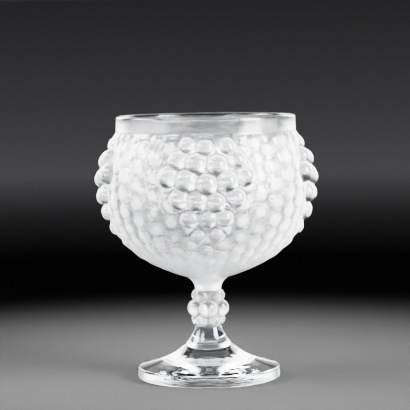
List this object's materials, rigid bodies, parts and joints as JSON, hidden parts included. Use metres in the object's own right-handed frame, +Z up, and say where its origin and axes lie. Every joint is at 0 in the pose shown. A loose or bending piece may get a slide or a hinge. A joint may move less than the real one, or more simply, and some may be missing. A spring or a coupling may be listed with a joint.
{
  "type": "footed glass bowl",
  "caption": "Footed crystal bowl: frosted round body with relief bunches of grapes, a clear lip band, a beaded frosted knop and a clear disc foot.",
  "frame": {"origin": "centre of the foot's underside, on the surface that the bowl stands on", "axes": "+Z up the bowl's axis from foot to lip, -Y towards the viewer of the picture, through the middle of the front bunch, +X to the viewer's right"},
  "size_m": [0.1744, 0.1744, 0.205],
  "materials": {
    "clear_glass": "polished",
    "satin_glass": "satin",
    "frosted_glass": "frosted outside, polished inside and at the lip"
  },
  "bodies": {
    "root": {"foot": "clear_glass", "stem_knop": "satin_glass", "bowl": "frosted_glass", "grape_bunch_front": "frosted_glass", "grape_bunch_right": "frosted_glass", "grape_bunch_back": "frosted_glass", "grape_bunch_left": "frosted_glass"}
  },
  "joints": []
}
